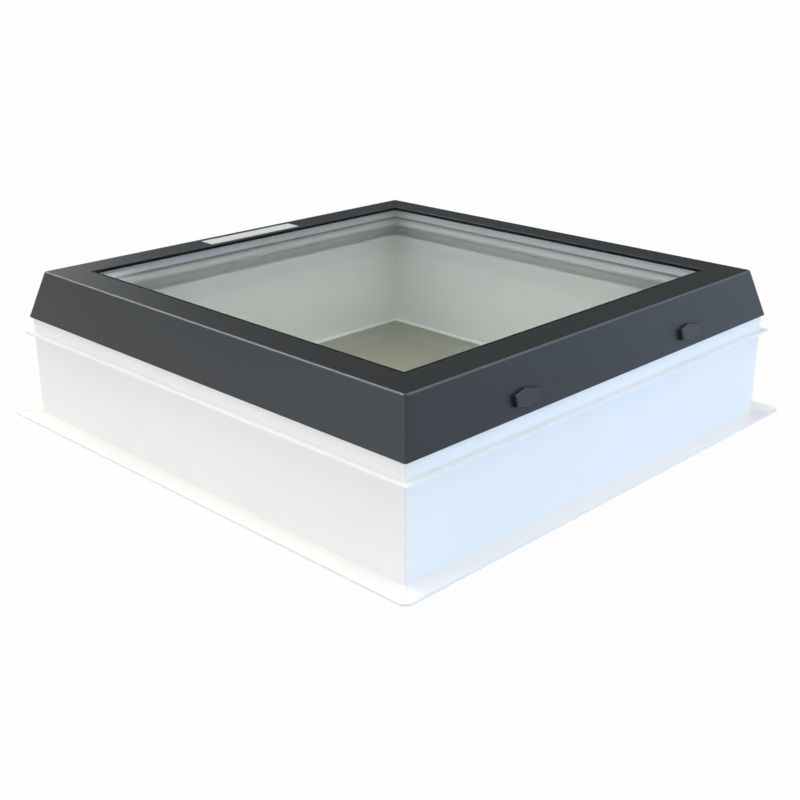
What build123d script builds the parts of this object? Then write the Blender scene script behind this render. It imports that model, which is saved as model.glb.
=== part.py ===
from build123d import *
import os
from math import atan2, cos, degrees, sin, sqrt

os.makedirs("parts", exist_ok=True)

# A fixed flat-glass roof skylight: a welded PVC kerb, a PVC sash with a sealed glass unit, and an
# aluminium cover frame. Millimetres, +Z up, origin on the underside of the flange at its centre.
# Side sections are drawn as (distance out from the centre, height) and run along the side.

# Kerb: hollow PVC rails, mitred and welded at the corners
clear_opening = 600.0
kerb_height = 150.0
kerb_depth = 66.0
kerb_skin = 3.0
kerb_web = 2.0
kerb_chamber_rows = 3
kerb_chamber_columns = 2
kerb_corner_round = 2.5
kerb_shoulder = 3.0
kerb_toe_height = 5.0
kerb_toe_reach = 2.5
kerb_foot_bevel = 1.2
kerb_lip_height = 5.0
kerb_lip_thick = 3.0
flange_reach = 29.5
flange_thick = 3.0
flange_clip = 7.5
fin_drop = 21.5
fin_reach = 9.2
fin_thick = 3.0
fin_corner_round = 1.5
fixing_rib_height = 26.0
fixing_rib_thick = 3.0

# Seal between the kerb and the sash
kerb_seal_thick = 3.5
kerb_seal_width = 14.0
seal_flap_thick = 3.0

# Sash: hollow PVC rails with a ledge that carries the glass
sash_skin = 2.5
sash_side_gap = 2.5
sash_rib_gap = 0.5
ledge_clearance = 18.1
ledge_thick = 10.0
ledge_show = 2.0

# Sealed glass unit, its tape, gasket and setting blocks
tape_thick = 2.0
tape_width = 12.0
inner_pane_thick = 6.4
gas_gap = 12.0
outer_pane_thick = 6.0
pane_arris = 0.5
edge_cover = 14.0
edge_space = 5.4
spacer_width = 6.0
spacer_wall = 1.0
sealant_width = 4.0
gasket_thick = 2.0
gasket_width = 8.0
gasket_show = 3.6
gasket_dip = 0.2
setting_block_length = 60.0
setting_block_height = 20.0
setting_block_pitch = 400.0

# Cover: mitred aluminium bars that lean in towards the top
cover_wall = 2.0
cover_inner_bevel = 0.6
cover_drop = 66.0
cover_lean = 19.8
cover_top_width = 46.1
cover_kerb_gap = 1.9
cover_edge_round = 4.0
cover_corner_round = 4.5
cover_lower_round = 0.8
cover_mitre_gap = 0.1
cover_foot_thick = 1.5
cleat_thick = 3.0
cleat_leg = 80.0
cleat_clearance = 0.2
cleat_hole = 6.0

# Fixings: two screws with caps on each of two opposite sides
cap_pitch = 340.0
cap_rise = 20.0
cap_width = 43.0
cap_height = 22.0
cap_end_height = 13.0
cap_wall = 1.6
cap_bevel_share = 0.2
cap_base_thick = 1.2
cap_snap_clearance = 0.3
screw_shank = 4.8
screw_head_width = 8.0
screw_head_height = 2.4
screw_head_room = 0.8
screw_bite = 2.5
screw_point_share = 0.6
screw_socket = 3.0
screw_socket_depth_share = 0.6
screw_hole_clearance = 0.4
thread_clearance = 0.1
sleeve_wall = 2.0

# Blank label strip on the left bar
label_length = 175.0
label_width = 27.0
label_thick = 0.3
label_place_share = 0.42
label_corner_round = 1.0

# One overrun for all cuts
overrun = 10.0

# Heights, from the flange upward
fixing_rib_top = kerb_height + fixing_rib_height
seal_top = kerb_height + kerb_seal_thick
ledge_low = seal_top + ledge_clearance
ledge_top = ledge_low + ledge_thick
tape_top = ledge_top + tape_thick
inner_pane_top = tape_top + inner_pane_thick
gas_top = inner_pane_top + gas_gap
glass_top = gas_top + outer_pane_thick
cover_under = glass_top + gasket_thick
cover_top = cover_under + cover_wall
cover_low = cover_top - cover_drop
fin_top = cover_low - fin_drop
sash_top = cover_under - cleat_thick

# Distances out from the centre
lean_angle = atan2(cover_lean, cover_drop)
cover_wall_across = cover_wall / cos(lean_angle)
opening_half = clear_opening / 2
kerb_half = opening_half + kerb_depth
flange_half = kerb_half + flange_reach
fin_half = kerb_half + fin_reach
cover_half = kerb_half + cover_kerb_gap + cover_wall_across
ridge_half = cover_half - cover_lean
sight_half = ridge_half - cover_top_width
glass_half = sight_half + edge_cover
rebate_half = glass_half + edge_space
ledge_half = sight_half - ledge_show


def cover_inside(height):
    """Distance out to the inner face of the cover's leaning side at a height."""
    return cover_half - cover_wall_across - cover_lean * (height - cover_low) / cover_drop


sash_half = cover_inside(sash_top) - sash_side_gap
rib_inner = sash_half + sash_rib_gap
rib_outer = rib_inner + fixing_rib_thick

# The four sides and corners, each a turn of the first about the vertical axis
sides = ("right", "back", "left", "front")
fixed_sides = ("right", "left")
corners = ("right_back", "left_back", "left_front", "right_front")
side_turns = {name: index * 360 / len(sides) for index, name in enumerate(sides)}
corner_turns = {name: index * 360 / len(corners) for index, name in enumerate(corners)}


def section(points):
    """Closed face in the vertical plane across the right-hand side."""
    return make_face(Plane.XZ * Polyline(*points, close=True))


def box_section(inner, low, outer, high):
    """Rectangular face across the right-hand side."""
    return section([(inner, low), (outer, low), (outer, high), (inner, high)])


def mitred(face, gap=0.0):
    """Run a section along the right-hand side and cut both ends at 45 degrees."""
    reach = flange_half + overrun
    apex = gap / sqrt(2)
    corner = [(apex, 0), (apex + reach, reach), (apex + reach, -reach)]
    wedge = extrude(make_face(Polyline(*corner, close=True)), cover_top + overrun)
    return extrude(face, reach, both=True) & wedge


def turned(solid, turn):
    """A copy of a piece turned about the vertical axis."""
    return Rot(0, 0, turn) * solid


def plate(half, low, high, corner_round=0.0):
    """Square plate between two heights, with rounded upright corners if asked."""
    if corner_round > 0:
        face = RectangleRounded(2 * half, 2 * half, corner_round)
    else:
        face = Rectangle(2 * half, 2 * half)
    return Pos(0, 0, low) * extrude(face, high - low)


def ring(inner_half, outer_half, low, high):
    """Square ring between two heights."""
    face = Rectangle(2 * outer_half, 2 * outer_half) - Rectangle(2 * inner_half, 2 * inner_half)
    return Pos(0, 0, low) * extrude(face, high - low)


# Fixing points: a plane on the leaning side, Y of the plane up the slope, Z straight out of it
fixing_out = cover_half - cap_rise * sin(lean_angle)
fixing_height = cover_low + cap_rise * cos(lean_angle)
fixing_places = (-cap_pitch / 2, cap_pitch / 2)
screw_seat = cap_base_thick
screw_reach = (fixing_out - sash_half + sash_skin) / cos(lean_angle) + screw_bite
cap_depth = cap_base_thick + screw_head_height + screw_head_room + cap_wall


def fixing_plane(along):
    """Working plane of one fixing on the right-hand side."""
    origin = (fixing_out, along, fixing_height)
    return Plane(origin=origin, x_dir=(0, 1, 0), z_dir=(cos(lean_angle), 0, sin(lean_angle)))


def rod(along, diameter, start, stop):
    """Round rod on a fixing's axis, between two distances out from the leaning face."""
    return fixing_plane(along) * Pos(0, 0, start) * extrude(Circle(diameter / 2), stop - start)


def screw_bores(clearance):
    """Holes for the screws of the right-hand side."""
    width = screw_shank + clearance
    return [rod(place, width, -screw_reach - overrun, overrun) for place in fixing_places]


# Kerb rails
def kerb_chambers():
    """Chambers inside the kerb wall, in rows and columns."""
    wide = kerb_depth - 2 * kerb_skin - (kerb_chamber_columns - 1) * kerb_web
    tall = kerb_height - 2 * kerb_skin - (kerb_chamber_rows - 1) * kerb_web
    wide = wide / kerb_chamber_columns
    tall = tall / kerb_chamber_rows
    faces = []
    for column in range(kerb_chamber_columns):
        inner = opening_half + kerb_skin + column * (wide + kerb_web)
        for row in range(kerb_chamber_rows):
            low = kerb_skin + row * (tall + kerb_web)
            faces.append(box_section(inner, low, inner + wide, low + tall))
    return faces


def kerb_rail():
    """Kerb rail of one side: hollow wall with a toe and a lip inside, fixing rib, drip fin and flange."""
    toe_half = opening_half - kerb_toe_reach
    lip_half = opening_half + kerb_lip_thick
    lip_top = kerb_height + kerb_lip_height
    wall_points = [
        (toe_half + kerb_foot_bevel, 0),
        (kerb_half, 0),
        (kerb_half, kerb_height - kerb_shoulder),
        (kerb_half - kerb_shoulder, kerb_height),
        (rib_outer, kerb_height),
        (rib_outer, fixing_rib_top),
        (rib_inner, fixing_rib_top),
        (rib_inner, kerb_height),
        (lip_half, kerb_height),
        (lip_half, lip_top),
        (opening_half, lip_top),
        (opening_half, kerb_toe_height),
        (toe_half, kerb_foot_bevel),
    ]
    wall = mitred(section(wall_points) - kerb_chambers())
    wall = wall & plate(kerb_half, 0, fixing_rib_top, kerb_corner_round)
    root = kerb_half - kerb_skin / 2
    fin = mitred(box_section(root, fin_top - fin_thick, fin_half, fin_top))
    fin = fin & plate(fin_half, fin_top - fin_thick, fin_top, fin_corner_round)
    flange = mitred(box_section(root, 0, flange_half, flange_thick))
    flange_outline = chamfer(Rectangle(2 * flange_half, 2 * flange_half).vertices(), flange_clip)
    flange = flange & extrude(flange_outline, flange_thick)
    return wall + fin + flange


# Sash rails
def sash_rail():
    """Sash rail of one side: a box beside the glass edge and a ledge under the glass."""
    outline_points = [
        (ledge_half, ledge_low),
        (rebate_half, ledge_low),
        (rebate_half, seal_top),
        (sash_half, seal_top),
        (sash_half, sash_top),
        (rebate_half, sash_top),
        (rebate_half, ledge_top),
        (ledge_half, ledge_top),
    ]
    box_inner = rebate_half + sash_skin
    box_outer = sash_half - sash_skin
    chambers = [
        box_section(ledge_half + sash_skin, ledge_low + sash_skin, rebate_half, ledge_top - sash_skin),
        box_section(box_inner, seal_top + sash_skin, box_outer, ledge_top - sash_skin),
        box_section(box_inner, ledge_top, box_outer, sash_top - sash_skin),
    ]
    return mitred(section(outline_points) - chambers)


# Seal between the kerb and the sash
def kerb_seal():
    """Strip under the sash, with a flap that closes the joint behind the ledge."""
    inner = rebate_half - seal_flap_thick
    strip = ring(inner, rebate_half + kerb_seal_width, kerb_height, seal_top)
    return strip + ring(inner, rebate_half, seal_top, ledge_low)


# Cover bars
def cover_envelope():
    """Outside of the whole cover: a leaning block with its edges rounded."""
    base = Pos(0, 0, cover_low) * Rectangle(2 * cover_half, 2 * cover_half)
    block = extrude(base, cover_drop, taper=degrees(lean_angle))
    slanted = [edge for edge in block.edges() if edge.bounding_box().size.Z > cover_drop / 2]
    block = fillet(slanted, cover_corner_round)
    block = fillet(block.faces().sort_by(Axis.Z)[-1].edges(), cover_edge_round)
    return fillet(block.faces().sort_by(Axis.Z)[0].edges(), cover_lower_round)


def cover_bar():
    """Cover bar of one side: a flat top over the glass edge, a leaning side and two feet."""
    points = [
        (sight_half, cover_under),
        (sight_half, cover_top - cover_inner_bevel),
        (sight_half + cover_inner_bevel, cover_top),
        (ridge_half, cover_top),
        (cover_half, cover_low),
        (cover_half - cover_wall_across, cover_low),
        (cover_inside(cover_under), cover_under),
        (sash_half, cover_under),
        (sash_half, sash_top),
        (sash_half - cover_foot_thick, sash_top),
        (sash_half - cover_foot_thick, cover_under),
        (rebate_half + cover_foot_thick, cover_under),
        (rebate_half + cover_foot_thick, sash_top),
        (rebate_half, sash_top),
        (rebate_half, cover_under),
    ]
    return mitred(section(points), cover_mitre_gap) & cover_envelope()


def corner_cleat():
    """Flat angle that joins two cover bars, in the channel between their feet."""
    inner = rebate_half + cover_foot_thick + cleat_clearance
    outer = sash_half - cover_foot_thick - cleat_clearance
    end = outer - cleat_leg
    middle = (inner + outer) / 2
    points = [(outer, outer), (end, outer), (end, inner), (inner, inner), (inner, end), (outer, end)]
    face = make_face(Polyline(*points, close=True))
    hole_place = outer - cleat_leg + cleat_hole
    face = face - Pos(hole_place, middle) * Circle(cleat_hole / 2)
    face = face - Pos(middle, hole_place) * Circle(cleat_hole / 2)
    return Pos(0, 0, sash_top) * extrude(face, cleat_thick)


# Glass unit
def pane(low, thick):
    """One sheet of glass with ground edges."""
    sheet = plate(glass_half, low, low + thick)
    return chamfer(sheet.edges().filter_by(Plane.XY), pane_arris)


def spacer_bar():
    """Channel folded round the glass unit, open towards its edge."""
    outer = glass_half - sealant_width
    inner = outer - spacer_width
    channel = ring(inner, outer, inner_pane_top, gas_top)
    return channel - ring(inner + spacer_wall, outer, inner_pane_top + spacer_wall, gas_top - spacer_wall)


def edge_sealant():
    """Sealant round the edge of the glass unit, which also fills the spacer's channel."""
    outer = glass_half - sealant_width
    inner = outer - spacer_width + spacer_wall
    tongue = ring(inner, outer, inner_pane_top + spacer_wall, gas_top - spacer_wall)
    return tongue + ring(outer, glass_half, inner_pane_top, gas_top)


def outer_gasket():
    """Gasket between the glass and the cover, with an upstand along the cover's inner edge."""
    inner = sight_half - gasket_show
    pad = ring(inner, sight_half + gasket_width, glass_top, cover_under)
    return pad + ring(inner, sight_half, cover_under, cover_top - gasket_dip)


def setting_blocks():
    """Two packers on each side, between the glass edge and the sash."""
    blocks = []
    for turn in side_turns.values():
        for place in (-setting_block_pitch / 2, setting_block_pitch / 2):
            face = Pos(glass_half + edge_space / 2, place) * Rectangle(edge_space, setting_block_length)
            block = Pos(0, 0, ledge_top) * extrude(face, setting_block_height)
            blocks.append(turned(block, turn))
    return blocks


# Fixings and caps
def hexagon(inset=0.0):
    """Long six-sided outline of a cap, with upright ends and a point above and below."""
    across = cap_width / 2
    end = cap_end_height / 2
    tip = cap_height / 2
    points = [(across, -end), (across, end), (0, tip), (-across, end), (-across, -end), (0, -tip)]
    face = make_face(Polyline(*points, close=True))
    if inset > 0:
        face = offset(face, -inset, kind=Kind.INTERSECTION)
    return face


def bevelled(face, depth):
    """Outline raised to a depth, with its outer edges bevelled."""
    body = extrude(face, depth)
    return chamfer(body.faces().sort_by(Axis.Z)[-1].edges(), depth * cap_bevel_share)


def cover_cap(along):
    """Hollow cap that snaps over one screw head."""
    shell = bevelled(hexagon(), cap_depth) - bevelled(hexagon(cap_wall), cap_depth - cap_wall)
    return fixing_plane(along) * shell


def cap_base(along):
    """Flat base under the screw head that the cap snaps on to."""
    face = hexagon(cap_wall + cap_snap_clearance) - Circle((screw_shank + screw_hole_clearance) / 2)
    return fixing_plane(along) * extrude(face, cap_base_thick)


def fixing_screw(along):
    """Pan-head screw through the cover, the kerb's rib and the sash."""
    shank = rod(along, screw_shank, -screw_reach, screw_seat)
    tip_edge = shank.edges().filter_by(GeomType.CIRCLE).sort_by(Axis.X)[0]
    shank = chamfer(tip_edge, screw_shank / 2 * screw_point_share)
    head = rod(along, screw_head_width, screw_seat, screw_seat + screw_head_height)
    socket_depth = screw_head_height * screw_socket_depth_share
    socket = extrude(RegularPolygon(screw_socket / 2, 6, major_radius=False), socket_depth)
    socket = fixing_plane(along) * Pos(0, 0, screw_seat + screw_head_height - socket_depth) * socket
    return shank + head - socket


def fixing_sleeve(along):
    """Spacer tube between the cover's side and the kerb's rib."""
    bore = screw_shank + screw_hole_clearance
    tube = rod(along, bore + 2 * sleeve_wall, -screw_reach, -cover_wall)
    tube = tube - rod(along, bore, -screw_reach - overrun, overrun)
    behind_rib = plate(rib_outer, 0, cover_top)
    return tube - behind_rib


# Blank label
def blank_label():
    """Thin strip on the top of the left bar."""
    outline = RectangleRounded(label_width, label_length, label_corner_round)
    middle = sight_half + cover_top_width * label_place_share
    return Pos(-middle, 0, cover_top) * extrude(outline, label_thick)


def write(name, piece):
    """Write one piece, or a group of like solids, to its own file."""
    if isinstance(piece, list):
        piece = Compound(children=piece)
    piece.label = name
    export_step(piece, f"parts/{name}.step")


def write_sides(name, plain, drilled):
    """Write the four rails of one frame, drilled on the two sides that are screwed."""
    for side, turn in side_turns.items():
        rail = drilled if side in fixed_sides else plain
        write(f"{name}_{side}", turned(rail, turn))


clear_bores = screw_bores(screw_hole_clearance)
thread_bores = screw_bores(thread_clearance)

plain_kerb = kerb_rail()
plain_sash = sash_rail()
plain_cover = cover_bar()
write_sides("kerb_rail", plain_kerb, plain_kerb - clear_bores)
write_sides("sash_rail", plain_sash, plain_sash - thread_bores)
write_sides("cover_bar", plain_cover, plain_cover - clear_bores)

for corner, turn in corner_turns.items():
    write(f"corner_cleat_{corner}", turned(corner_cleat(), turn))

write("kerb_seal", kerb_seal())
write("glazing_tape", ring(glass_half - tape_width, glass_half, ledge_top, tape_top))
write("inner_pane", pane(tape_top, inner_pane_thick))
write("outer_pane", pane(gas_top, outer_pane_thick))
write("spacer_bar", spacer_bar())
write("edge_sealant", edge_sealant())
write("outer_gasket", outer_gasket())
write("setting_blocks", setting_blocks())

screws = []
sleeves = []
cap_bases = []
for side in fixed_sides:
    turn = side_turns[side]
    for place in fixing_places:
        screws.append(turned(fixing_screw(place), turn))
        sleeves.append(turned(fixing_sleeve(place), turn))
        cap_bases.append(turned(cap_base(place), turn))
        end = "front" if (place < 0) == (side == "right") else "back"
        write(f"cover_cap_{side}_{end}", turned(cover_cap(place), turn))
write("fixing_screws", screws)
write("fixing_sleeves", sleeves)
write("cap_bases", cap_bases)
write("blank_label", blank_label())
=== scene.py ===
from math import cos, pi, radians, sin

import bmesh
import bpy
from mathutils import Matrix, Vector


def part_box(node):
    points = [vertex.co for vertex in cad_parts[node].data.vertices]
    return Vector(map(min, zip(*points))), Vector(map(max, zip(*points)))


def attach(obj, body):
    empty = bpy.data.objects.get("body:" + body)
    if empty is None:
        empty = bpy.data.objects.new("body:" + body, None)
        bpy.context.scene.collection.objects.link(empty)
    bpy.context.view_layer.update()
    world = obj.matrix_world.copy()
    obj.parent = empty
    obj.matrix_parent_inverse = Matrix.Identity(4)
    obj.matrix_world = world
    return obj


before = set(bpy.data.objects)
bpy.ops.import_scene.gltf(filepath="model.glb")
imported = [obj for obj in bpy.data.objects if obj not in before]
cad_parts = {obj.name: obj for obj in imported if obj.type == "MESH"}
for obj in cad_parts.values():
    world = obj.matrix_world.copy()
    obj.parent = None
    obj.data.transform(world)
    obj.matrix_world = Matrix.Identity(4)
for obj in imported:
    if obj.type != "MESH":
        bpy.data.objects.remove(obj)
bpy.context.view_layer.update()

bl_info = {
    "name": "Roof skylight",
    "version": (1, 0, 0),
    "blender": (4, 5, 0),
    "location": "View3D > Sidebar > Skylight",
    "description": "Finishes, weld beads, light and camera of a flat-glass roof skylight",
    "category": "Object",
}


def linear(code):
    """Linear red, green and blue of an sRGB hex colour."""
    channels = [int(code[start:start + 2], 16) / 255 for start in (1, 3, 5)]
    return tuple(c / 12.92 if c <= 0.04045 else ((c + 0.055) / 1.055) ** 2.4 for c in channels)


# What the solids give: the kerb's flange, inner face and foot, and the heights that the beads follow
same_place = 1e-5
kerb_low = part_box("kerb_rail_front")[0]
flange_half = -kerb_low.y
kerb_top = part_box("kerb_seal")[0].z
kerb_points = [vertex.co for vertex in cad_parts["kerb_rail_front"].data.vertices]
inner_half = min(-p.y for p in kerb_points if p.z > kerb_top / 2)
inner_heights = [p.z for p in kerb_points if abs(p.y + inner_half) < same_place]
foot_half = min(-p.y for p in kerb_points if p.z < same_place)
corner_signs = {"right_back": (1, 1), "left_back": (-1, 1), "left_front": (-1, -1), "right_front": (1, -1)}


def colour_property(name, description, code):
    """Colour that a user may change, given as an sRGB hex value."""
    return bpy.props.FloatVectorProperty(
        name=name, description=description, default=linear(code), subtype="COLOR", size=3, min=0.0, max=1.0
    )


def length_property(name, description, metres):
    """Length that a user may change, in metres."""
    return bpy.props.FloatProperty(
        name=name, description=description, default=metres, min=0.0, unit="LENGTH", precision=5
    )


def angle_property(name, description, degrees):
    """Angle that a user may change, given in degrees."""
    return bpy.props.FloatProperty(
        name=name, description=description, default=radians(degrees), subtype="ANGLE", unit="ROTATION"
    )


def share_property(name, description, value):
    """Share that a user may change, from none to all."""
    return bpy.props.FloatProperty(
        name=name, description=description, default=value, min=0.0, max=1.0, subtype="FACTOR"
    )


def strength_property(name, description, value):
    """Brightness that a user may change."""
    return bpy.props.FloatProperty(name=name, description=description, default=value, min=0.0)


def power_property(name, description, watts):
    """Power of a lamp that a user may change, in watts."""
    return bpy.props.FloatProperty(name=name, description=description, default=watts, min=0.0, unit="POWER")


class SkylightSizes(bpy.types.PropertyGroup):
    """Sizes of the weld beads."""

    weld_width: length_property("Weld width", "Width of the bead on a flange mitre", 0.0030)
    weld_rise: length_property("Weld rise", "Height of the bead on a flange mitre", 0.0008)
    corner_weld_width: length_property("Inner weld width", "Width of the bead in an inner corner", 0.0024)
    corner_weld_rise: length_property("Inner weld rise", "Height of the bead in an inner corner", 0.0014)
    weld_sink: length_property("Weld sink", "How deep the beads sit in the plastic", 0.0003)
    weld_ripple: share_property("Weld ripple", "How much a bead swells along its length", 0.12)
    weld_ripple_pitch: length_property("Ripple pitch", "Length of one ripple of a bead", 0.0045)


class SkylightColours(bpy.types.PropertyGroup):
    """Colours of the finishes."""

    pvc: colour_property("PVC", "White of the kerb and the sash", "#F0EFEC")
    powder: colour_property("Powder coat", "Anthracite of the cover", "#1C1F21")
    # Painted highlight: paler grey on the cover's rounded edges
    powder_highlight: colour_property("Powder coat highlight", "Paler grey painted on its rounded edges as a highlight", "#515456")
    cap: colour_property("Caps", "Anthracite of the moulded caps", "#202328")
    rubber: colour_property("Rubber", "Black of the gasket", "#121314")
    tape: colour_property("Tape", "Dark grey of the foam tape under the glass", "#6A6B6C")
    seal: colour_property("Seal", "Pale grey of the foam seal under the sash", "#C8C9C7")
    sealant: colour_property("Sealant", "Dark grey of the glass unit's edge sealant", "#2A2B2D")
    spacer: colour_property("Spacer", "Silver grey lacquer of the glass unit's spacer", "#F3F4FE")
    aluminium: colour_property("Aluminium", "Bare aluminium of the cleats", "#E6E6EC")
    steel: colour_property("Steel", "Stainless steel of the screws", "#C9C7C2")
    glass: colour_property("Glass", "Faint green of the float glass", "#F9FBF8")
    packer: colour_property("Packers", "Grey of the setting blocks", "#898B8E")
    sleeve: colour_property("Sleeves", "Grey of the spacer tubes", "#5F6062")
    label: colour_property("Label", "White of the blank film", "#CECECA")


class SkylightStage(bpy.types.PropertyGroup):
    """Camera, floor and light."""

    camera_azimuth: angle_property("Camera azimuth", "0 looks along +Y and 90 along -X", 44.14)
    camera_elevation: angle_property("Camera elevation", "Height angle above the horizon", 20.82)
    camera_roll: angle_property("Camera roll", "Turn of the camera about its line of sight", 0.10)
    camera_distance: length_property("Camera distance", "From the origin, along the line of sight", 1.7729)
    camera_right: length_property("Camera right", "Sideways shift of the camera", 0.00212)
    camera_up: length_property("Camera up", "Upward shift of the camera", 0.01682)
    camera_lens: bpy.props.FloatProperty(
        name="Lens", description="Focal length on a 36 mm sensor", default=54.55, unit="CAMERA"
    )
    floor_half: length_property("Floor half", "Half the width of the floor", 60.0)
    floor: colour_property("Floor", "Pale floor", "#CECECC")
    well_floor: colour_property("Floor in the well", "Floor that shows through the opening", "#908C7C")
    floor_white: share_property("Floor white", "Share of the floor's look that is plain white", 0.95)
    horizon: colour_property("Horizon", "Surround at eye level", "#FFFFFF")
    dome: colour_property("Dome", "Pale surround above eye level", "#CACACA")
    overhead: colour_property("Overhead", "White of the ceiling", "#FFFFFF")
    overhead_strength: strength_property("Overhead strength", "How bright the ceiling is", 1.48)
    backdrop: colour_property("Backdrop", "Dim backdrop that the flat tops mirror", "#484B4A")
    backdrop_strength: strength_property("Backdrop strength", "How bright the backdrop is", 1.0)
    backdrop_azimuth: angle_property("Backdrop azimuth", "Where the backdrop stands, 180 is behind", -122.0)
    backdrop_elevation: angle_property("Backdrop elevation", "How high its middle stands", 20.0)
    backdrop_reach: angle_property("Backdrop reach", "Angle from its middle at which it fades out", 95.0)
    panel: colour_property("Panel", "Bright soft panel beyond the left corner", "#FFFFFF")
    panel_strength: strength_property("Panel strength", "How bright the panel is", 1.9)
    panel_azimuth: angle_property("Panel azimuth", "Where the panel stands, -90 is at the left", -107.0)
    panel_elevation: angle_property("Panel elevation", "How high the panel stands", 11.5)
    panel_reach: angle_property("Panel reach", "Angle from its middle at which it fades out", 17.0)
    cool_panel: colour_property("Cool panel", "Cool soft panel beyond the right corner", "#AED6FF")
    cool_panel_strength: strength_property("Cool panel strength", "How bright the cool panel is", 2.6)
    cool_panel_azimuth: angle_property("Cool panel azimuth", "Where it stands, 90 is at the right", 150.0)
    cool_panel_elevation: angle_property("Cool panel elevation", "How high the cool panel stands", 8.0)
    cool_panel_reach: angle_property("Cool panel reach", "Angle from its middle at which it fades out", 24.0)
    left_box: colour_property("Left box", "Small bright soft box, high at the left", "#FFFFFF")
    left_box_strength: strength_property("Left box strength", "How bright the left box is", 14.0)
    left_box_azimuth: angle_property("Left box azimuth", "Where it stands, -90 is at the left", -84.0)
    left_box_elevation: angle_property("Left box elevation", "How high the left box stands", 43.0)
    left_box_reach: angle_property("Left box reach", "Angle from its middle at which it fades out", 12.0)
    right_box: colour_property("Right box", "Small soft box, high behind the right", "#FFFFFF")
    right_box_strength: strength_property("Right box strength", "How bright the right box is", 3.6)
    right_box_azimuth: angle_property("Right box azimuth", "Where it stands, 180 is behind", 156.0)
    right_box_elevation: angle_property("Right box elevation", "How high the right box stands", 55.0)
    right_box_reach: angle_property("Right box reach", "Angle from its middle at which it fades out", 14.0)
    key_strength: strength_property("Key strength", "Soft light from the left", 0.84)
    key_colour: colour_property("Key colour", "Faintly cool white", "#EBF4FF")
    key_azimuth: angle_property("Key azimuth", "Where the key stands, 0 is in front", -28.0)
    key_spread: angle_property("Key spread", "Angle that the key spans", 36.0)
    key_elevation: angle_property("Key elevation", "How high the key stands", 17.0)
    fill_power: power_property("Fill power", "Soft cool light from the right", 7.3)
    fill_colour: colour_property("Fill colour", "Cool white", "#7EBEFF")
    fill_azimuth: angle_property("Fill azimuth", "Where the fill stands, 90 is at the right", 96.0)
    fill_distance: length_property("Fill distance", "From the part's middle to the fill", 1.7)
    fill_rise: length_property("Fill rise", "Height of the fill's middle, below the level of the glass", 0.12)
    fill_width: length_property("Fill width", "Width of the fill", 1.0)
    fill_height: length_property("Fill height", "Height of the fill", 0.2)
    well_power: power_property("Well power", "Soft light that comes down the well", 1.27)
    well_offset: length_property("Well offset", "How far the well light stands towards the far corner", 0.06)
    well_colour: colour_property("Well colour", "Daylight that comes down the well", "#E8F3FF")


# Shader building: sockets of the mix node when it mixes colours, and values that several finishes share
MIX_FACTOR, MIX_A, MIX_B, MIX_RESULT = 0, 6, 7, 2
mm_per_metre = 1000
relief_depth = 0.0002
stretch_along_rails = (0.02, 0.02, 1.0)
cloudy_detail = 3.0


def add_node(tree, kind, inputs=None, **settings):
    """Add a node with its settings; an input given as a socket is linked, any other is set."""
    node = tree.nodes.new(kind)
    for name, value in settings.items():
        setattr(node, name, value)
    for name, value in (inputs or {}).items():
        if isinstance(value, bpy.types.NodeSocket):
            tree.links.new(value, node.inputs[name])
        else:
            node.inputs[name].default_value = value
    return node


def new_material(name):
    """Empty node material, its tree and the place on the piece that its patterns follow."""
    material = bpy.data.materials.new(name)
    material.use_nodes = True
    tree = material.node_tree
    tree.nodes.clear()
    return material, tree, add_node(tree, "ShaderNodeTexCoord").outputs["Object"]


def opaque(colour, share=1.0):
    """Colour with its alpha, made darker or brighter by a share if asked."""
    return (*[channel * share for channel in colour], 1.0)


def repeats(size_mm):
    """Texture scale, in metres, that draws features of a size in millimetres."""
    return mm_per_metre / size_mm


def surface(tree, shader):
    """Use a shader as the surface."""
    add_node(tree, "ShaderNodeOutputMaterial", {"Surface": shader.outputs[0]})


def extruded_pvc(name, colour):
    """Rigid white PVC, extruded through a steel die."""
    # The die gives a satin skin with faint draw lines along the rail. Real lines are a few hundredths of a
    # millimetre apart, too fine to show, so they are drawn 2.5 mm apart. Filler leaves a slow drift of
    # the white.
    draw_line_mm = 2.5
    line_relief = 0.06
    smoothest, roughest = 0.30, 0.42
    drift_mm = 90.0
    darkest_share = 0.965
    refraction = 1.53
    material, tree, place = new_material(name)
    along = add_node(tree, "ShaderNodeMapping", {"Vector": place, "Scale": stretch_along_rails}).outputs[0]
    lines = add_node(
        tree, "ShaderNodeTexNoise", {"Vector": along, "Scale": repeats(draw_line_mm)}
    ).outputs[0]
    drift = add_node(
        tree, "ShaderNodeTexNoise", {"Vector": place, "Scale": repeats(drift_mm), "Detail": cloudy_detail}
    ).outputs[0]
    white = add_node(
        tree, "ShaderNodeMix",
        {MIX_FACTOR: drift, MIX_A: opaque(colour, darkest_share), MIX_B: opaque(colour)}, data_type="RGBA",
    ).outputs[MIX_RESULT]
    gloss = add_node(
        tree, "ShaderNodeMapRange", {"Value": lines, "To Min": smoothest, "To Max": roughest}
    ).outputs[0]
    relief = add_node(
        tree, "ShaderNodeBump", {"Height": lines, "Strength": line_relief, "Distance": relief_depth}
    ).outputs[0]
    surface(tree, add_node(
        tree, "ShaderNodeBsdfPrincipled",
        {"Base Color": white, "Roughness": gloss, "IOR": refraction, "Normal": relief},
    ))
    return material


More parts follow.
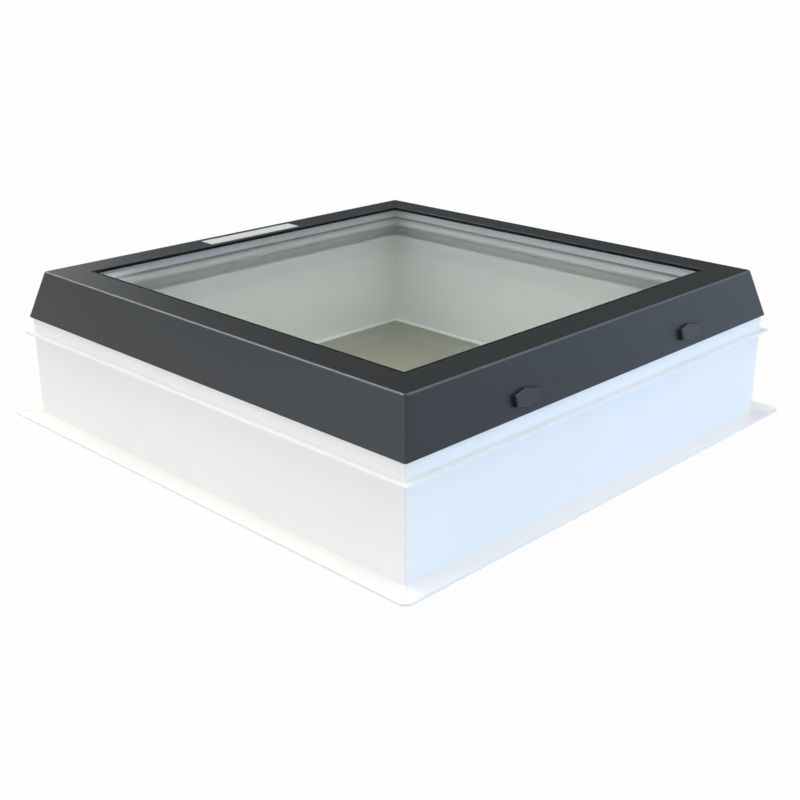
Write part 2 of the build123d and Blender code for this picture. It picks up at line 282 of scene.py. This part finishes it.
def powder_coat(name, colour, highlight_colour):
    """Polyester powder coat, baked on aluminium."""
    # The melted powder gives a matt skin with a fine orange peel. Its grain is about 0.5 mm, too fine to
    # show, so it is drawn at 1.4 mm. The film is a little thicker in places, which shifts the grey slightly.
    # A paler grey is painted on the rounded edges as a highlight, most of all on those between the top
    # and the sides, and as weaker painted light on the rounded corners where two sides meet.
    peel_mm = 1.4
    peel_relief = 0.10
    smoothest, roughest = 0.38, 0.46
    drift_mm = 120.0
    darkest_share, palest_share = 0.9, 1.08
    refraction = 1.5
    side_tilt, edge_tilt_low, edge_tilt_high, top_tilt = 0.34, 0.75, 0.92, 0.985
    corner_skew, edge_skew, full_corner_skew = 0.10, 0.02, 0.40
    corner_painted_light = 0.32
    material, tree, place = new_material(name)
    peel = add_node(tree, "ShaderNodeTexNoise", {"Vector": place, "Scale": repeats(peel_mm)}).outputs[0]
    drift = add_node(tree, "ShaderNodeTexNoise", {"Vector": place, "Scale": repeats(drift_mm)}).outputs[0]
    grey = add_node(
        tree, "ShaderNodeMix",
        {MIX_FACTOR: drift, MIX_A: opaque(colour, darkest_share), MIX_B: opaque(colour, palest_share)},
        data_type="RGBA",
    ).outputs[MIX_RESULT]
    normal = add_node(tree, "ShaderNodeNewGeometry").outputs["Normal"]
    facing = add_node(tree, "ShaderNodeSeparateXYZ", {"Vector": normal}).outputs
    tilt = facing["Z"]
    # Painted highlight: surfaces tilted between the sides and the top, the rounded edges, get the paler grey
    past_side = add_node(
        tree, "ShaderNodeMapRange",
        {"Value": tilt, "From Min": side_tilt, "From Max": edge_tilt_low}, interpolation_type="SMOOTHSTEP",
    ).outputs[0]
    before_top = add_node(
        tree, "ShaderNodeMapRange",
        {"Value": tilt, "From Min": top_tilt, "From Max": edge_tilt_high}, interpolation_type="SMOOTHSTEP",
    ).outputs[0]
    edge = add_node(tree, "ShaderNodeMath", {0: past_side, 1: before_top}, operation="MULTIPLY").outputs[0]
    # Where two rounded edges meet at a corner, the painted highlight gives way
    skew = add_node(
        tree, "ShaderNodeMath", {0: facing["X"], 1: facing["Y"]}, operation="MULTIPLY"
    ).outputs[0]
    skew = add_node(tree, "ShaderNodeMath", {0: skew}, operation="ABSOLUTE").outputs[0]
    straight = add_node(
        tree, "ShaderNodeMapRange", {"Value": skew, "From Min": corner_skew, "From Max": edge_skew}
    ).outputs[0]
    edge = add_node(tree, "ShaderNodeMath", {0: edge, 1: straight}, operation="MULTIPLY").outputs[0]
    # Painted light: the rounded corners between two sides get part of the paler grey
    corner = add_node(
        tree, "ShaderNodeMapRange",
        {"Value": skew, "From Min": corner_skew, "From Max": full_corner_skew, "To Max": corner_painted_light},
    ).outputs[0]
    edge = add_node(tree, "ShaderNodeMath", {0: edge, 1: corner}, operation="MAXIMUM").outputs[0]
    # The paler grey goes in here, as a painted highlight on the edges and painted light on the corners
    grey = add_node(
        tree, "ShaderNodeMix",
        {MIX_FACTOR: edge, MIX_A: grey, MIX_B: opaque(highlight_colour)}, data_type="RGBA",
    ).outputs[MIX_RESULT]
    gloss = add_node(
        tree, "ShaderNodeMapRange", {"Value": peel, "To Min": smoothest, "To Max": roughest}
    ).outputs[0]
    relief = add_node(
        tree, "ShaderNodeBump", {"Height": peel, "Strength": peel_relief, "Distance": relief_depth}
    ).outputs[0]
    surface(tree, add_node(
        tree, "ShaderNodeBsdfPrincipled",
        {"Base Color": grey, "Roughness": gloss, "IOR": refraction, "Normal": relief},
    ))
    return material


def moulded_plastic(name, colour, grain_mm, roughness):
    """Glass-filled polyamide or polypropylene, moulded in a spark-eroded tool."""
    # The eroded tool leaves a fine even grain that breaks up the shine.
    grain_relief = 0.12
    darkest_share, palest_share = 0.88, 1.1
    refraction = 1.53
    material, tree, place = new_material(name)
    grain = add_node(
        tree, "ShaderNodeTexNoise", {"Vector": place, "Scale": repeats(grain_mm), "Detail": cloudy_detail}
    ).outputs[0]
    tone = add_node(
        tree, "ShaderNodeMix",
        {MIX_FACTOR: grain, MIX_A: opaque(colour, darkest_share), MIX_B: opaque(colour, palest_share)},
        data_type="RGBA",
    ).outputs[MIX_RESULT]
    relief = add_node(
        tree, "ShaderNodeBump", {"Height": grain, "Strength": grain_relief, "Distance": relief_depth}
    ).outputs[0]
    surface(tree, add_node(
        tree, "ShaderNodeBsdfPrincipled",
        {"Base Color": tone, "Roughness": roughness, "IOR": refraction, "Normal": relief},
    ))
    return material


def extruded_rubber(name, colour):
    """Rubber, solid or foamed, extruded and cured."""
    # The cured skin is dull, with a fine bloom that shifts its grey or black in patches.
    bloom_mm = 14.0
    darkest_share, palest_share = 0.8, 1.3
    grain_mm = 0.8
    grain_relief = 0.15
    roughness = 0.8
    refraction = 1.52
    mirror_level = 0.15
    material, tree, place = new_material(name)
    bloom = add_node(
        tree, "ShaderNodeTexNoise", {"Vector": place, "Scale": repeats(bloom_mm), "Detail": cloudy_detail}
    ).outputs[0]
    grain = add_node(tree, "ShaderNodeTexNoise", {"Vector": place, "Scale": repeats(grain_mm)}).outputs[0]
    tone = add_node(
        tree, "ShaderNodeMix",
        {MIX_FACTOR: bloom, MIX_A: opaque(colour, darkest_share), MIX_B: opaque(colour, palest_share)},
        data_type="RGBA",
    ).outputs[MIX_RESULT]
    relief = add_node(
        tree, "ShaderNodeBump", {"Height": grain, "Strength": grain_relief, "Distance": relief_depth}
    ).outputs[0]
    surface(tree, add_node(
        tree, "ShaderNodeBsdfPrincipled",
        {
            "Base Color": tone, "Roughness": roughness, "IOR": refraction,
            "Specular IOR Level": mirror_level, "Normal": relief,
        },
    ))
    return material


def rolled_metal(name, colour, roughness):
    """Bare strip or bar, rolled between steel rolls."""
    # Rolling leaves fine lines along the strip that draw the highlight out across them. Real lines are a
    # tenth of a millimetre apart, too fine to show, so they are drawn 1.5 mm apart.
    roll_line_mm = 1.5
    darkest_share = 0.97
    smoothest_share, roughest_share = 0.94, 1.06
    material, tree, place = new_material(name)
    along = add_node(tree, "ShaderNodeMapping", {"Vector": place, "Scale": stretch_along_rails}).outputs[0]
    lines = add_node(
        tree, "ShaderNodeTexNoise", {"Vector": along, "Scale": repeats(roll_line_mm)}
    ).outputs[0]
    tone = add_node(
        tree, "ShaderNodeMix",
        {MIX_FACTOR: lines, MIX_A: opaque(colour, darkest_share), MIX_B: opaque(colour)}, data_type="RGBA",
    ).outputs[MIX_RESULT]
    gloss = add_node(
        tree, "ShaderNodeMapRange",
        {"Value": lines, "To Min": roughness * smoothest_share, "To Max": roughness * roughest_share},
    ).outputs[0]
    surface(tree, add_node(
        tree, "ShaderNodeBsdfPrincipled", {"Base Color": tone, "Metallic": 1.0, "Roughness": gloss}
    ))
    return material


def strip_lacquer(name, colour):
    """Thin lacquer, rolled onto aluminium strip and baked."""
    # It covers the metal with an even satin grey, and the roller leaves faint bands along the strip. Real
    # bands are a few tenths of a millimetre apart, too fine to show, so they are drawn 1.5 mm apart.
    band_mm = 1.5
    darkest_share = 0.94
    smoothest, roughest = 0.34, 0.44
    refraction = 1.5
    material, tree, place = new_material(name)
    along = add_node(tree, "ShaderNodeMapping", {"Vector": place, "Scale": stretch_along_rails}).outputs[0]
    bands = add_node(tree, "ShaderNodeTexNoise", {"Vector": along, "Scale": repeats(band_mm)}).outputs[0]
    tone = add_node(
        tree, "ShaderNodeMix",
        {MIX_FACTOR: bands, MIX_A: opaque(colour, darkest_share), MIX_B: opaque(colour)}, data_type="RGBA",
    ).outputs[MIX_RESULT]
    gloss = add_node(
        tree, "ShaderNodeMapRange", {"Value": bands, "To Min": smoothest, "To Max": roughest}
    ).outputs[0]
    surface(tree, add_node(
        tree, "ShaderNodeBsdfPrincipled", {"Base Color": tone, "Roughness": gloss, "IOR": refraction}
    ))
    return material


def float_glass(name, colour):
    """Soda-lime glass, floated on tin and toughened on rollers."""
    # Both faces are fire-polished, so they mirror at a low angle. The rollers leave a slow wave, about 300 mm
    # long, that bends what is mirrored a little. Light from the lamps and the surround passes straight
    # through, and takes a part of the tint on its way.
    roller_wave_mm = 300.0
    wave_detail = 0.0
    wave_relief = 0.2
    wave_depth = 0.0006
    refraction = 1.52
    passing_tint_share = 0.25
    material, tree, place = new_material(name)
    wave = add_node(
        tree, "ShaderNodeTexNoise",
        {"Vector": place, "Scale": repeats(roller_wave_mm), "Detail": wave_detail},
    ).outputs[0]
    relief = add_node(
        tree, "ShaderNodeBump", {"Height": wave, "Strength": wave_relief, "Distance": wave_depth}
    ).outputs[0]
    glass = add_node(
        tree, "ShaderNodeBsdfPrincipled",
        {
            "Base Color": opaque(colour), "Roughness": 0.0, "IOR": refraction,
            "Transmission Weight": 1.0, "Normal": relief,
        },
    ).outputs[0]
    passed = [channel ** passing_tint_share for channel in colour]
    clear = add_node(tree, "ShaderNodeBsdfTransparent", {"Color": opaque(passed)}).outputs[0]
    path = add_node(tree, "ShaderNodeLightPath").outputs
    scattered = add_node(
        tree, "ShaderNodeMixShader", {0: path["Is Diffuse Ray"], 1: glass, 2: clear}
    ).outputs[0]
    surface(tree, add_node(tree, "ShaderNodeMixShader", {0: path["Is Shadow Ray"], 1: scattered, 2: clear}))
    return material


def label_film(name, colour):
    """Blank polyester film, printed all over in white."""
    # A smooth film with a soft shine, a little uneven where the glue lies under it.
    glue_mm = 9.0
    glue_relief = 0.1
    darkest_share = 0.95
    roughness = 0.35
    refraction = 1.6
    material, tree, place = new_material(name)
    glue = add_node(tree, "ShaderNodeTexNoise", {"Vector": place, "Scale": repeats(glue_mm)}).outputs[0]
    white = add_node(
        tree, "ShaderNodeMix",
        {MIX_FACTOR: glue, MIX_A: opaque(colour, darkest_share), MIX_B: opaque(colour)}, data_type="RGBA",
    ).outputs[MIX_RESULT]
    relief = add_node(
        tree, "ShaderNodeBump", {"Height": glue, "Strength": glue_relief, "Distance": relief_depth}
    ).outputs[0]
    surface(tree, add_node(
        tree, "ShaderNodeBsdfPrincipled",
        {"Base Color": white, "Roughness": roughness, "IOR": refraction, "Normal": relief},
    ))
    return material


# Pieces
def nodes_named(*starts):
    """Solids whose names begin with any of the given words."""
    found = [piece for name, piece in sorted(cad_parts.items()) if name.startswith(starts)]
    if not found:
        raise RuntimeError(f"no solid is named {starts}")
    return found


def dress(pieces, material):
    """Give pieces a finish."""
    for piece in pieces:
        piece.data.materials.clear()
        piece.data.materials.append(material)


def add_object(name, data):
    """Object of a mesh, a lamp or a camera, linked to the scene."""
    made = bpy.data.objects.new(name, data)
    bpy.context.scene.collection.objects.link(made)
    return made


def add_mesh(name, builder, material):
    """Object of a built mesh, with its finish."""
    mesh = bpy.data.meshes.new(name)
    builder.to_mesh(mesh)
    builder.free()
    made = add_object(name, mesh)
    dress([made], material)
    return made


def add_piece(name, builder, material):
    """Link a built mesh as a piece of the part."""
    bmesh.ops.recalc_face_normals(builder, faces=builder.faces)
    for face in builder.faces:
        face.smooth = True
    piece = add_mesh(name, builder, material)
    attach(piece, "root")


def add_bead(builder, start, end, out, width, rise, sizes):
    """Half-round weld bead between two points, swollen at each ripple and rounded off at its ends."""
    stations_per_ripple = 6
    fewest_stations = 2
    section_steps = 8
    end_share = 0.15
    along = (end - start).normalized()
    side = along.cross(out).normalized()
    length = (end - start).length
    height = rise + sizes.weld_sink
    stations = max(fewest_stations, round(stations_per_ripple * length / sizes.weld_ripple_pitch))
    rows = []
    for station in range(stations + 1):
        share = station / stations
        ripple = 1 + sizes.weld_ripple * sin(2 * pi * share * length / sizes.weld_ripple_pitch)
        end_space = min(share, 1 - share) * length
        swell = ripple * min(1.0, end_share + end_space / width)
        middle = start.lerp(end, share) - out * sizes.weld_sink
        row = []
        for step in range(section_steps + 1):
            angle = pi * step / section_steps
            offset = side * (cos(angle) * width / 2 * swell)
            offset = offset + out * (sin(angle) * height * swell)
            row.append(builder.verts.new(middle + offset))
        rows.append(row)
    for one, two in zip(rows, rows[1:]):
        for step in range(section_steps):
            builder.faces.new((one[step], one[step + 1], two[step + 1], two[step]))
        builder.faces.new((one[-1], one[0], two[0], two[-1]))
    builder.faces.new(rows[0])
    builder.faces.new(rows[-1])


class SKYLIGHT_OT_kerb(bpy.types.Operator):
    """Finish the kerb rails and add the weld beads at the corners"""

    bl_idname = "skylight.kerb"
    bl_label = "Kerb"

    def execute(self, context):
        sizes = context.scene.skylight_sizes
        pvc = extruded_pvc("extruded white PVC kerb", context.scene.skylight_colours.pvc)
        dress(nodes_named("kerb_rail"), pvc)
        rim = [p for p in kerb_points if p.y < kerb_low.y + same_place]
        flange_top = max(p.z for p in rim)
        clip = flange_half - max(p.x for p in rim)
        near_top = 2 * flange_top
        wall_half = max(-p.y for p in kerb_points if abs(p.z - kerb_top) < near_top)
        inner = wall_half - sizes.weld_width / 2
        outer = flange_half - clip / 2 - sizes.weld_width / 2
        for corner, (x, y) in corner_signs.items():
            builder = bmesh.new()
            start = Vector((x * inner, y * inner, flange_top))
            end = Vector((x * outer, y * outer, flange_top))
            add_bead(builder, start, end, Vector((0, 0, 1)), sizes.weld_width, sizes.weld_rise, sizes)
            foot = Vector((x * inner_half, y * inner_half, min(inner_heights)))
            head = Vector((x * inner_half, y * inner_half, max(inner_heights)))
            inward = Vector((-x, -y, 0)).normalized()
            add_bead(builder, foot, head, inward, sizes.corner_weld_width, sizes.corner_weld_rise, sizes)
            add_piece(f"corner_weld_{corner}", builder, pvc)
        return {"FINISHED"}


class SKYLIGHT_OT_sash(bpy.types.Operator):
    """Finish the sash rails, the setting blocks and the seal under the sash"""

    bl_idname = "skylight.sash"
    bl_label = "Sash"

    def execute(self, context):
        colours = context.scene.skylight_colours
        packer = moulded_plastic("moulded polypropylene", colours.packer, grain_mm=1.0, roughness=0.5)
        dress(nodes_named("sash_rail"), extruded_pvc("extruded white PVC sash", colours.pvc))
        dress(nodes_named("setting_blocks"), packer)
        dress(nodes_named("kerb_seal"), extruded_rubber("extruded foam rubber", colours.seal))
        return {"FINISHED"}


class SKYLIGHT_OT_glass(bpy.types.Operator):
    """Finish the glass unit: panes, spacer, sealant, tape and gasket"""

    bl_idname = "skylight.glass"
    bl_label = "Glass unit"

    def execute(self, context):
        colours = context.scene.skylight_colours
        dress(nodes_named("inner_pane", "outer_pane"), float_glass("clear float glass", colours.glass))
        dress(nodes_named("spacer_bar"), strip_lacquer("lacquered aluminium strip", colours.spacer))
        dress(nodes_named("edge_sealant"), extruded_rubber("cured sealant", colours.sealant))
        dress(nodes_named("outer_gasket"), extruded_rubber("extruded black rubber", colours.rubber))
        dress(nodes_named("glazing_tape"), extruded_rubber("extruded foam tape", colours.tape))
        return {"FINISHED"}


class SKYLIGHT_OT_cover(bpy.types.Operator):
    """Finish the cover bars and their corner cleats"""

    bl_idname = "skylight.cover"
    bl_label = "Cover"

    def execute(self, context):
        colours = context.scene.skylight_colours
        coat = powder_coat("powder-coated aluminium", colours.powder, colours.powder_highlight)
        cleat = rolled_metal("mill-finish aluminium", colours.aluminium, roughness=0.45)
        dress(nodes_named("cover_bar"), coat)
        dress(nodes_named("corner_cleat"), cleat)
        return {"FINISHED"}


class SKYLIGHT_OT_fixings(bpy.types.Operator):
    """Finish the caps, their bases, the screws and the sleeves"""

    bl_idname = "skylight.fixings"
    bl_label = "Fixings"

    def execute(self, context):
        colours = context.scene.skylight_colours
        cap = moulded_plastic("moulded polyamide cap", colours.cap, grain_mm=0.9, roughness=0.42)
        screw = rolled_metal("stainless steel", colours.steel, roughness=0.3)
        sleeve = moulded_plastic("moulded polyamide tube", colours.sleeve, grain_mm=1.0, roughness=0.5)
        dress(nodes_named("cover_cap", "cap_bases"), cap)
        dress(nodes_named("fixing_screws"), screw)
        dress(nodes_named("fixing_sleeves"), sleeve)
        return {"FINISHED"}


class SKYLIGHT_OT_label(bpy.types.Operator):
    """Finish the blank label"""

    bl_idname = "skylight.label"
    bl_label = "Label"

    def execute(self, context):
        film = label_film("white polyester film", context.scene.skylight_colours.label)
        dress(nodes_named("blank_label"), film)
        return {"FINISHED"}


# Stage
def towards(azimuth, elevation):
    """Unit vector from the part towards a place in the round: azimuth 0 is in front, 90 at the right."""
    return Vector((sin(azimuth) * cos(elevation), -cos(azimuth) * cos(elevation), sin(elevation)))


def floor_piece(name, outer, hole, material):
    """Square floor with a square hole, or none."""
    builder = bmesh.new()
    rim = [builder.verts.new((x * outer, y * outer, 0)) for x, y in corner_signs.values()]
    if hole > 0:
        edge = [builder.verts.new((x * hole, y * hole, 0)) for x, y in corner_signs.values()]
        for index in range(len(rim)):
            following = (index + 1) % len(rim)
            builder.faces.new((rim[index], rim[following], edge[following], edge[index]))
    else:
        builder.faces.new(rim)
    floor = add_mesh(name, builder, material)


def painted_floor(name, colour, white_share):
    """Matt pale paint, or a matt screed where no share of it is white."""
    # To the eye and in mirrors a share of the paint is plain white, and the rest keeps the shadow.
    speck_mm = 3.0
    darkest_share = 0.97
    material, tree, place = new_material(name)
    speck = add_node(tree, "ShaderNodeTexNoise", {"Vector": place, "Scale": repeats(speck_mm)}).outputs[0]
    paint_colour = add_node(
        tree, "ShaderNodeMix",
        {MIX_FACTOR: speck, MIX_A: opaque(colour, darkest_share), MIX_B: opaque(colour)}, data_type="RGBA",
    ).outputs[MIX_RESULT]
    paint = add_node(tree, "ShaderNodeBsdfDiffuse", {"Color": paint_colour})
    if white_share == 0:
        surface(tree, paint)
        return material
    path = add_node(tree, "ShaderNodeLightPath").outputs
    seen = add_node(
        tree, "ShaderNodeMath", {0: path["Is Camera Ray"], 1: path["Is Glossy Ray"]}, operation="MAXIMUM"
    ).outputs[0]
    seen = add_node(
        tree, "ShaderNodeMath", {0: seen, 1: path["Is Transmission Ray"]}, operation="MAXIMUM"
    ).outputs[0]
    share = add_node(tree, "ShaderNodeMath", {0: seen, 1: white_share}, operation="MULTIPLY").outputs[0]
    white = add_node(tree, "ShaderNodeEmission", {"Color": opaque((1, 1, 1)), "Strength": 1.0}).outputs[0]
    surface(tree, add_node(tree, "ShaderNodeMixShader", {0: share, 1: paint.outputs[0], 2: white}))
    return material


def add_surround(stage):
    """Pale dome with a dim backdrop, two bright panels, a ceiling, two soft boxes and a white horizon."""
    horizon_from, horizon_to = 0.10, 0.06
    ceiling_from, ceiling_to = 0.60, 0.90
    full_share = 0.6
    world = bpy.data.worlds.new("soft surround")
    bpy.context.scene.world = world
    world.use_nodes = True
    tree = world.node_tree
    tree.nodes.clear()
    direction = add_node(tree, "ShaderNodeTexCoord").outputs["Generated"]
    height = add_node(tree, "ShaderNodeSeparateXYZ", {"Vector": direction}).outputs["Z"]

    def patch_layer(name):
        """Round patch that is full to a share of its reach and fades out beyond."""
        middle = towards(getattr(stage, f"{name}_azimuth"), getattr(stage, f"{name}_elevation"))
        reach = getattr(stage, f"{name}_reach")
        patch = opaque(getattr(stage, name), getattr(stage, f"{name}_strength"))
        nearness = add_node(
            tree, "ShaderNodeVectorMath", {0: direction, 1: middle}, operation="DOT_PRODUCT"
        ).outputs["Value"]
        return nearness, cos(reach), cos(reach * full_share), patch

    ceiling = opaque(stage.overhead, stage.overhead_strength)
    layers = [
        patch_layer("backdrop"),
        patch_layer("panel"),
        patch_layer("cool_panel"),
        (height, ceiling_from, ceiling_to, ceiling),
        patch_layer("left_box"),
        patch_layer("right_box"),
        (height, horizon_from, horizon_to, opaque(stage.horizon)),
    ]
    colour = opaque(stage.dome)
    for value, start, end, next_colour in layers:
        share = add_node(
            tree, "ShaderNodeMapRange",
            {"Value": value, "From Min": start, "From Max": end}, interpolation_type="SMOOTHSTEP",
        ).outputs[0]
        colour = add_node(
            tree, "ShaderNodeMix",
            {MIX_FACTOR: share, MIX_A: colour, MIX_B: next_colour}, data_type="RGBA",
        ).outputs[MIX_RESULT]
    light = add_node(tree, "ShaderNodeBackground", {"Color": colour, "Strength": 1.0}).outputs[0]
    add_node(tree, "ShaderNodeOutputWorld", {"Surface": light})


def add_key(stage):
    """Distant soft light from the left."""
    lamp = bpy.data.lights.new("key", "SUN")
    lamp.energy = stage.key_strength
    lamp.color = stage.key_colour
    lamp.angle = stage.key_spread
    piece = add_object("key", lamp)
    piece.rotation_mode = "QUATERNION"
    piece.rotation_quaternion = towards(stage.key_azimuth, stage.key_elevation).to_track_quat("Z", "Y")


def add_fill(stage):
    """Low soft light from the right, which passes under the level of the glass."""
    lamp = bpy.data.lights.new("fill", "AREA")
    lamp.energy = stage.fill_power
    lamp.color = stage.fill_colour
    lamp.shape = "RECTANGLE"
    lamp.size = stage.fill_width
    lamp.size_y = stage.fill_height
    outward = towards(stage.fill_azimuth, 0)
    piece = add_object("fill", lamp)
    piece.location = outward * stage.fill_distance + Vector((0, 0, stage.fill_rise))
    piece.rotation_mode = "QUATERNION"
    piece.rotation_quaternion = outward.to_track_quat("Z", "Y")
    piece.visible_camera = False
    piece.visible_glossy = False


def add_well_light(stage):
    """Soft light just under the glass, shining down the well, which itself stays unseen."""
    lamp = bpy.data.lights.new("well", "AREA")
    lamp.energy = stage.well_power
    lamp.color = stage.well_colour
    lamp.size = 2 * (inner_half - stage.well_offset)
    piece = add_object("well", lamp)
    piece.location = towards(stage.camera_azimuth, 0) * -stage.well_offset
    piece.location.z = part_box("glazing_tape")[0].z
    piece.visible_camera = False
    piece.visible_glossy = False
    piece.visible_transmission = False


def add_camera(stage):
    """Camera at the photograph's angle."""
    back = towards(stage.camera_azimuth, stage.camera_elevation)
    right = Vector((cos(stage.camera_azimuth), sin(stage.camera_azimuth), 0))
    up = back.cross(right)
    turn = Matrix.Rotation(stage.camera_roll, 3, back)
    right = turn @ right
    up = turn @ up
    camera = add_object("camera", bpy.data.cameras.new("camera"))
    camera.data.lens = stage.camera_lens
    place = back * stage.camera_distance + right * stage.camera_right + up * stage.camera_up
    camera.matrix_world = Matrix.Translation(place) @ Matrix((right, up, back)).transposed().to_4x4()
    bpy.context.scene.camera = camera


class SKYLIGHT_OT_stage(bpy.types.Operator):
    """Add the floor, the light and the camera"""

    bl_idname = "skylight.stage"
    bl_label = "Stage"

    def execute(self, context):
        stage = context.scene.skylight_stage
        context.scene.view_settings.view_transform = "Standard"
        paint = painted_floor("pale matt paint", stage.floor, stage.floor_white)
        floor_piece("floor", stage.floor_half, foot_half, paint)
        screed = painted_floor("pale matt screed", stage.well_floor, 0)
        floor_piece("floor_in_well", foot_half, 0, screed)
        add_surround(stage)
        add_key(stage)
        add_fill(stage)
        add_well_light(stage)
        add_camera(stage)
        return {"FINISHED"}


property_groups = {
    "skylight_sizes": SkylightSizes,
    "skylight_colours": SkylightColours,
    "skylight_stage": SkylightStage,
}
operators = (
    SKYLIGHT_OT_kerb, SKYLIGHT_OT_sash, SKYLIGHT_OT_glass, SKYLIGHT_OT_cover,
    SKYLIGHT_OT_fixings, SKYLIGHT_OT_label, SKYLIGHT_OT_stage,
)


class VIEW3D_PT_skylight(bpy.types.Panel):
    """Lists the operators and the sizes, colours and stage that they use"""

    bl_label = "Roof skylight"
    bl_space_type = "VIEW_3D"
    bl_region_type = "UI"
    bl_category = "Skylight"

    def draw(self, context):
        for operator in operators:
            self.layout.operator(operator.bl_idname)
        for group_name in property_groups:
            group = getattr(context.scene, group_name)
            box = self.layout.box()
            for name in group.__annotations__:
                box.prop(group, name)


def register():
    """Register the groups, the operators and the panel."""
    for kind in (*property_groups.values(), *operators, VIEW3D_PT_skylight):
        bpy.utils.register_class(kind)
    for name, group in property_groups.items():
        setattr(bpy.types.Scene, name, bpy.props.PointerProperty(type=group))


def unregister():
    """Take the groups, the operators and the panel away again."""
    for name in property_groups:
        delattr(bpy.types.Scene, name)
    for kind in (VIEW3D_PT_skylight, *reversed(operators), *reversed(property_groups.values())):
        bpy.utils.unregister_class(kind)


def main():
    """Finish every piece and set the stage."""
    register()
    bpy.ops.skylight.kerb()
    bpy.ops.skylight.sash()
    bpy.ops.skylight.glass()
    bpy.ops.skylight.cover()
    bpy.ops.skylight.fixings()
    bpy.ops.skylight.label()
    bpy.ops.skylight.stage()


if __name__ == "__main__":
    main()
